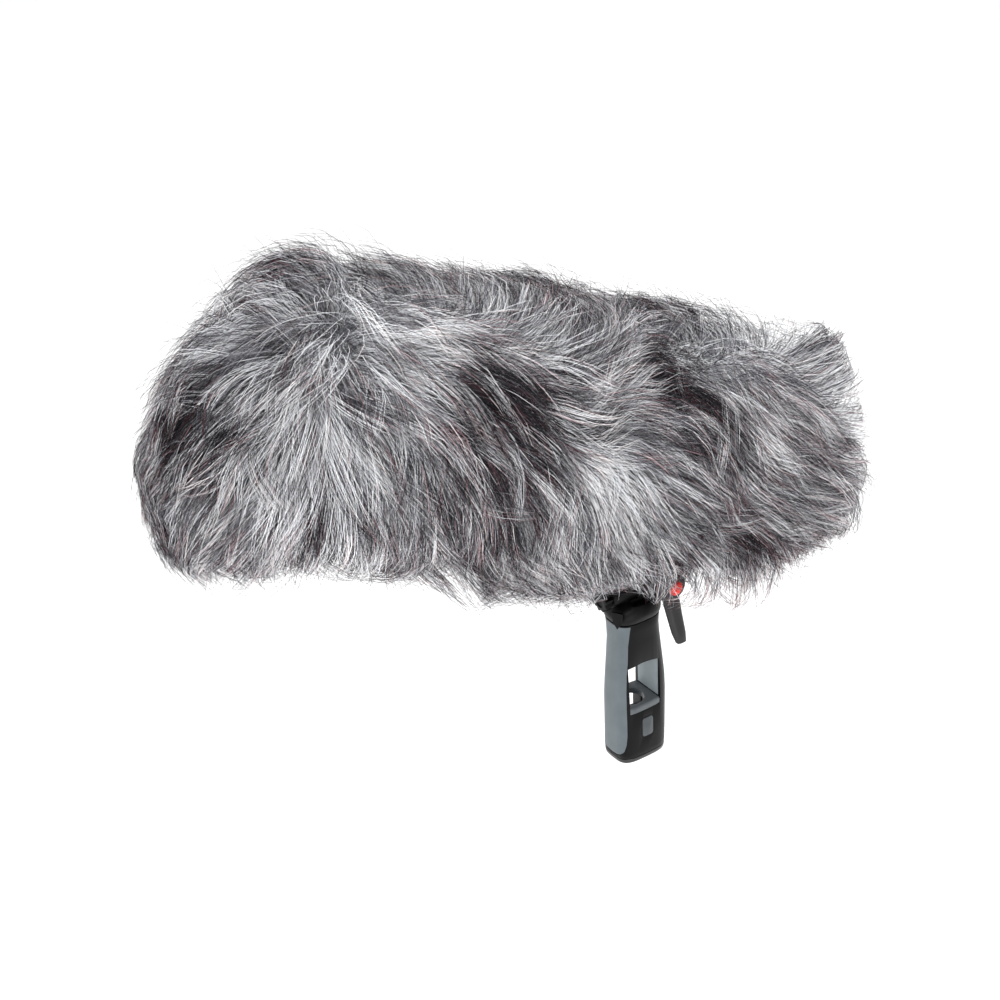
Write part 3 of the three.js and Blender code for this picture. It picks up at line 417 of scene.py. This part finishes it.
tt = np.linspace(0, 1, SEG + 1)
pull = np.where(stray, rng.uniform(0.0, 0.15, nb), rng.uniform(0.45, 0.9, nb))
c = pull[:, None] * tt[None, :] ** 1.25
path = path * (1 - c[..., None]) + guide[lock] * c[..., None]
wob = rng.normal(0, 1, (nb, 3))
ph = rng.uniform(0, 2 * math.pi, nb)
path += wob[:, None, :] * (1.1 * tt[None, :] * np.sin(ph[:, None] + tt[None, :] * 5.0))[..., None]
# the heavier masses of hair: the drooping nose, the swept tail, the tuft and the seam's pinch
MS = np.array(MASSES, float)
flatp = path.reshape(-1, 3)
tw = np.tile(tt ** 0.9, nb)
for m in MS:
    g = np.exp(-((flatp - m[:3]) ** 2).sum(1) / (2 * (m[6] * 1.15) ** 2))
    flatp += (g * tw)[:, None] * m[3:6]
# no stroke presses a hair back through the backing and into the basket
q = core(flatp)
d = flatp - q
r = np.linalg.norm(d, axis=1)
flatp[:] = q + d * (np.maximum(r, 64.5 + 6.0 * np.tile(tt, nb)) / np.maximum(r, 1e-6))[:, None]
# hairs part round the lever's button, and rest on the head rather than passing through it
def part_round(pts, centre, axis, reach):
    """Every hair that would cross the line of sight goes round it on one side."""
    h = pts.reshape(nb, SEG + 1, 3)
    rel = h - centre
    along = rel @ axis
    perp = rel - along[..., None] * axis
    dd = np.linalg.norm(perp, axis=2)
    hit = (dd < reach) & (along > -14) & (along < 150)
    crossing = hit.any(1)
    way = (perp * hit[..., None]).sum(1)
    way /= np.maximum(np.linalg.norm(way, axis=1), 1e-6)[:, None]
    s = (perp * way[:, None, :]).sum(2)
    close = (dd < reach * 1.7) & (along > -14) & crossing[:, None]
    h += way[:, None, :] * (np.maximum(reach - s, 0) * close)[..., None]


VIEW = np.array([-0.4717, -0.7263, 0.5])
VIEW_L = np.array([VIEW[0] * CT - VIEW[2] * ST, VIEW[1], VIEW[0] * ST + VIEW[2] * CT])
part_round(flatp, np.array([0.0, -41.0, 0.0]), VIEW_L, 8.4)
# the fringe over the head is combed up and to both sides, so the head shows as far up as it does in the photo
row = to_row(flatp) * 1000
AZ, EL, ROLL = math.radians(-33), math.radians(30), math.radians(-3.2)
C3 = np.array([math.sin(AZ) * math.cos(EL), -math.cos(AZ) * math.cos(EL), math.sin(EL)])
R3 = np.array([math.cos(AZ), math.sin(AZ), 0.0])
U3 = np.cross(C3, R3)
R3, U3 = R3 * math.cos(ROLL) + U3 * math.sin(ROLL), U3 * math.cos(ROLL) - R3 * math.sin(ROLL)
rel = row - (np.array([-117.0, 0.0, 276.0]) + 1500 * C3)
far_ = -(rel @ C3)
px, py = 500 + 2083 * (rel @ R3) / far_, 500 - 2083 * (rel @ U3) / far_
jit = np.repeat(rng.normal(0, 3.2, nb) + np.where(rng.random(nb) < 0.04, 14, 0), SEG + 1)
line = 587 + jit + 19 * sm(634, 652, px)
w = sm(592, 602, px) * (1 - sm(656, 668, px)) * (far_ < 1560)
dy = np.maximum(py - line, 0) * w * far_ / 2083
row += dy[:, None] * (U3 * 0.92 + R3 * np.where(px < 630, -0.35, 0.25)[:, None])
dx, dz = row[:, 0] - PIVOT[0], row[:, 2] - PIVOT[2]
flatp = np.stack([dx * CT - dz * ST, row[:, 1], dx * ST + dz * CT], -1)
# tips thin out over a band instead of all ending on one surface
lim = np.repeat(np.where(stray, rng.uniform(110, 123, nb), 105 + 11 * rng.beta(2.0, 2.2, nb)) + 5.0 * snoise(base, W_MID) + 4.2 * rng.normal(0, 1, nl)[lock], SEG + 1)
m_out = MS[:, :3] - core(MS[:, :3])
m_out = (MS[:, 3:6] * m_out / np.linalg.norm(m_out, axis=1)[:, None]).sum(1)
near = [np.exp(-((flatp - m[:3]) ** 2).sum(1) / (2 * (m[6] * 1.4) ** 2)) for m in MS]
lim -= np.minimum(sum(g * max(-o, 0) * 0.42 for g, o in zip(near, m_out)), 24)
q = core(flatp)
d = flatp - q
r = np.linalg.norm(d, axis=1)
# both ends are combed in a little, so they stay round instead of meeting the box in a flat face
lim -= 8.5 * sm(0.66, 0.98, np.abs(d[:, 0] * CT + d[:, 2] * ST) / np.maximum(r, 1e-6))
over = np.maximum(r - lim, 0)
extra = sum(g * max(o, 0) * 1.3 for g, o in zip(near, m_out))
keep = 5.0 + np.minimum(extra, 26)
r2_ = np.where(over > 0, lim + keep * np.tanh(over / keep), r)
flatp = q + d * (r2_ / np.maximum(r, 1e-6))[:, None]
flatp[:, 1] = np.where(np.abs(flatp[:, 1]) > 112, np.sign(flatp[:, 1]) * (112 + 7.5 * np.tanh((np.abs(flatp[:, 1]) - 112) / 7.5)), flatp[:, 1])
path = flatp.reshape(path.shape)
# and inside the solid model's box, in the row frame, with a little room for the pile to stand proud
lo, hi = np.array(CAD_BOX[0]) * 1000, np.array(CAD_BOX[1]) * 1000
row = to_row(path) * 1000
g_end = np.random.default_rng(91)
ragged = (g_end.beta(1.1, 1.5, nl)[lock] * 20 + g_end.uniform(0, 6, nb))[:, None]
for ax, room in ((0, 12.0), (2, 12.0)):
    for sgn, edge in ((-1, lo[ax]), (1, hi[ax])):
        if ax == 2 and sgn < 0:
            continue
        past = np.maximum(sgn * (row[..., ax] - edge) + 8.0 + (ragged * 0.4 if ax == 0 else 0), 0)
        give = 8.0 + room - 1.5
        held = past / (1 + past / 26.0) if ax == 0 and sgn > 0 else give * np.tanh(past / give)
        row[..., ax] -= sgn * (past - held)
dx, dz = row[..., 0] - PIVOT[0], row[..., 2] - PIVOT[2]
path = np.stack([dx * CT - dz * ST, row[..., 1], dx * ST + dz * CT], -1)

# tone of each stretch of hair
mid = (path[:, 1:] + path[:, :-1]) / 2
pf = patch(mid.reshape(-1, 3)).reshape(nb, SEG)
l_tone = rng.normal(0, 1, nl)
pf = pf + (0.40 * l_tone[lock] + 0.22 * rng.normal(size=nb))[:, None] * (0.22 + np.abs(pf))
pf += snoise(mid.reshape(-1, 3), W_FINE).reshape(nb, SEG) * (0.13 + 0.24 * np.abs(pf))
# partly the fur's own dark tips, partly painted shade: hairs further from their lock's centre get a darker tone and
# more often a dark tip, standing in for the self-shadow in the gaps between locks
edge = np.linalg.norm(base - lock_root[lock], axis=1)
edge = sm(3.0, 7.5, edge)
# light: paler fur, and along the bottom edge painted bounce light from the floor
dark, light = sm(0.12, 0.95, pf), np.clip(-pf, 0, 1)
tm = (tt[1:] + tt[:-1]) / 2
s_tone = rng.normal(0, 0.09, nb) + 0.06 * l_tone[lock]
share = np.clip(0.39 + 0.15 * l_tone[lock] + 0.14 * edge + 0.34 * pf.mean(1), 0.05, 0.92)
tipdark = np.where(rng.random(nb) < share, rng.uniform(0.75, 1.0, nb), rng.uniform(0.0, 0.15, nb))
# 0.07 * edge is the painted shade at the locks' edges
tone = (0.07 + s_tone[:, None] + 0.07 * edge[:, None]
        + tipdark[:, None] * sm(0.42, 0.78, tm)[None, :]
        + 0.94 * dark * np.clip(0.80 + 0.26 * rng.normal(size=(nb, 1)), 0.15, 1.1) * (0.55 + 0.45 * sm(0.1, 0.5, tm))[None, :]
        - 0.30 * light * (1 + 1.2 * sm(0.55, 0.9, tm))[None, :]
        + 0.04 * rng.normal(size=(nb, SEG)))
tone[stray] += 0.65
low = (mid @ (-DOWN))
low = sm(35, -25, low)
warm = (0.31 + 0.66 * low + 0.30 * rng.normal(size=(nb, 1))) * sm(0.3, 0.75, tm)[None, :]
tone = np.clip(tone, 0, 1)

TONES = 11
PAL = []
for wv in (0, 1):
    for i in range(TONES):
        x = i / (TONES - 1)
        a = np.array([(0.745, 0.755, 0.775), (0.81, 0.735, 0.725)][wv])
        b = np.array([(0.009, 0.0085, 0.0105), (0.048, 0.016, 0.020)][wv])
        k = x ** 0.78
        col = np.exp(np.log(a) * (1 - k) + np.log(b) * k)
        PAL.append(flat_material(f"hair_{'warm' if wv else 'cool'}_{i:02d}", tuple(col), 0.72, 0.10, 0.0, 0.0))
pick = np.rint(tone * (TONES - 1)).astype(int) + TONES * (warm > 0.55).astype(int)

radius = np.where(stray, 0.15, np.where(tipdark > 0.5, rng.uniform(0.15, 0.22, nb), rng.uniform(0.19, 0.25, nb)))
prof = np.append((1 - tt[:-1] ** 2.1 * 0.62), 0.0)


def build(name, ids):
    """One mesh of closed, tapered, three-sided hairs."""
    n = len(ids)
    p = path[ids]
    tan = np.empty_like(p)
    tan[:, 1:-1] = p[:, 2:] - p[:, :-2]
    tan[:, 0], tan[:, -1] = p[:, 1] - p[:, 0], p[:, -1] - p[:, -2]
    tan /= np.maximum(np.linalg.norm(tan, axis=2), 1e-9)[..., None]
    ref = p[:, 0] - core(p[:, 0])
    ref /= np.linalg.norm(ref, axis=1)[:, None]
    sidev = np.cross(tan, ref[:, None, :])
    sl = np.linalg.norm(sidev, axis=2)
    sidev = np.where(sl[..., None] > 1e-3, sidev / np.maximum(sl, 1e-9)[..., None], np.array([0, 1.0, 0]))
    up = np.cross(sidev, tan)
    rad = radius[ids][:, None] * prof[None, :SEG]
    ang = np.array([0, 2 * math.pi / 3, 4 * math.pi / 3])
    ring = (p[:, :SEG, None, :] + rad[..., None, None] * (np.cos(ang)[None, None, :, None] * sidev[:, :SEG, None, :]
            + np.sin(ang)[None, None, :, None] * up[:, :SEG, None, :]))
    verts = np.concatenate([ring.reshape(n, SEG * 3, 3), p[:, SEG:SEG + 1]], 1)
    tri, seg = [(0, 2, 1)], [0]
    for k in range(SEG - 1):
        for j in range(3):
            a, b = k * 3 + j, k * 3 + (j + 1) % 3
            tri += [(a, b, b + 3), (a, b + 3, a + 3)]
            seg += [k, k]
    k = SEG - 1
    for j in range(3):
        tri.append((k * 3 + j, k * 3 + (j + 1) % 3, SEG * 3))
        seg.append(k)
    tri, seg = np.array(tri), np.array(seg)
    nv = SEG * 3 + 1
    faces = (tri[None] + (np.arange(n) * nv)[:, None, None]).reshape(-1)
    me = bpy.data.meshes.new(name)
    nf = n * len(tri)
    me.vertices.add(n * nv)
    me.vertices.foreach_set("co", to_row(verts.reshape(-1, 3)).astype(np.float32).reshape(-1))
    me.loops.add(nf * 3)
    me.loops.foreach_set("vertex_index", faces.astype(np.int32))
    me.polygons.add(nf)
    me.polygons.foreach_set("loop_start", np.arange(0, nf * 3, 3, dtype=np.int32))
    for m in PAL:
        me.materials.append(m)
    me.polygons.foreach_set("material_index", pick[ids][:, seg].reshape(-1).astype(np.int32))
    me.update(calc_edges=True)
    me.shade_smooth()
    o = bpy.data.objects.new(name, me)
    scene.collection.objects.link(o)
    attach(o, "windshield")
    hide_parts("fur_jacket_right", "fur_jacket_left")
    return o


tris_each = 1 + 6 * (SEG - 1) + 3
per = 190000 // tris_each
order = np.argsort(base[:, 0], kind="stable")
chunks = [order[i:i + per] for i in range(0, nb, per)]
fur = [build(f"fur_pile_{i + 1:02d}", ch) for i, ch in enumerate(chunks)]

# ------------------------------------------------------------------ the backing cloth under the pile
NU, NA = 44, 56
prof_pts = []
for i in range(9):
    a = i / 8 * math.pi / 2
    prof_pts.append((ROOT_A - ROOT_R * math.cos(a), ROOT_R * math.sin(a)))
for i in range(1, NU):
    prof_pts.append((ROOT_A + (ROOT_B - ROOT_A) * i / NU, ROOT_R))
for i in range(9):
    a = i / 8 * math.pi / 2
    prof_pts.append((ROOT_B + ROOT_R * math.sin(a), ROOT_R * math.cos(a)))
bv, bf = [(prof_pts[0][0], 0, ROOT_W)], []
rows = prof_pts[1:-1]
for u, rr in rows:
    for j in range(NA):
        a = 2 * math.pi * j / NA
        bv.append((u, rr * math.sin(a), ROOT_W + rr * math.cos(a)))
bv.append((prof_pts[-1][0], 0, ROOT_W))
idx = lambda i, j: 1 + i * NA + j % NA
for j in range(NA):
    bf.append((0, idx(0, j), idx(0, j + 1)))
for i in range(len(rows) - 1):
    for j in range(NA):
        f = (idx(i, j), idx(i + 1, j), idx(i + 1, j + 1), idx(i, j + 1))
        cx = np.mean([bv[k] for k in f], axis=0)
        if abs(cx[0]) < 61 and -56 < cx[1] < 43 and cx[2] < 80:
            continue
        bf.append(f)
for j in range(NA):
    bf.append((idx(len(rows) - 1, j + 1), idx(len(rows) - 1, j), len(bv) - 1))
me = bpy.data.meshes.new("jacket_backing")
me.from_pydata([tuple(v) for v in to_row(np.array(bv)) + vnoise(np.array(bv), W_MID) * 0.0006], [], bf)
me.update()
me.shade_smooth()
back = bpy.data.objects.new("jacket_backing", me)
scene.collection.objects.link(back)
me.materials.append(M["felt"])
so = back.modifiers.new("thick", "SOLIDIFY")
so.thickness = 0.003
so.offset = -1
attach(back, "windshield")
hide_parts("fur_jacket_right", "fur_jacket_left")

# ------------------------------------------------------------------ floor, light and camera
bpy.ops.mesh.primitive_plane_add(size=14, location=(0, 0, -0.42))
floor = bpy.context.object
floor.name = "floor"
floor.data.materials.append(flat_material("floor_white", (0.93, 0.93, 0.935), 0.9, 0.1))
world = bpy.data.worlds.new("studio")
scene.world = world
world.use_nodes = True
world.node_tree.nodes["Background"].inputs[0].default_value = (1, 1, 1, 1)
world.node_tree.nodes["Background"].inputs[1].default_value = 1.0


def area(name, loc, aim, size, power):
    ld = bpy.data.lights.new(name, "AREA")
    ld.energy = power
    ld.size = size
    o = bpy.data.objects.new(name, ld)
    scene.collection.objects.link(o)
    o.location = loc
    o.rotation_mode = "QUATERNION"
    o.rotation_quaternion = (Vector(aim) - Vector(loc)).to_track_quat("-Z", "Y")
    return o


area("key", (-1.3, -1.5, 1.9), (-0.1, 0, 0.25), 1.1, 40)
area("top", (0.2, 0.3, 2.1), (-0.1, 0, 0.25), 1.4, 22)
area("rim", (1.6, -0.5, 0.9), (0, 0, 0.2), 0.8, 12)
area("left", (-1.9, 0.35, 0.3), (0, 0, 0.1), 0.7, 15)
area("low", (-0.5, -1.5, -0.25), (-0.1, 0, 0.25), 1.2, 14)

AZ, EL, ROLL, DIST, LENS = math.radians(-33), math.radians(30), math.radians(-3.2), 1.5, 2083 / 1000 * 36
cdir = Vector((math.sin(AZ) * math.cos(EL), -math.cos(AZ) * math.cos(EL), math.sin(EL)))
right = Vector((math.cos(AZ), math.sin(AZ), 0))
up = cdir.cross(right)
r2 = right * math.cos(ROLL) + up * math.sin(ROLL)
u2 = up * math.cos(ROLL) - right * math.sin(ROLL)
cam = bpy.data.objects.new("camera", bpy.data.cameras.new("camera"))
scene.collection.objects.link(cam)
cam.data.lens = LENS
cam.data.sensor_width = 36
cam.matrix_world = Matrix.Translation(Vector((-0.117, 0, 0.276)) + cdir * DIST) @ Matrix((r2, u2, cdir)).transposed().to_4x4()
scene.camera = cam
scene.view_settings.view_transform = "Standard"
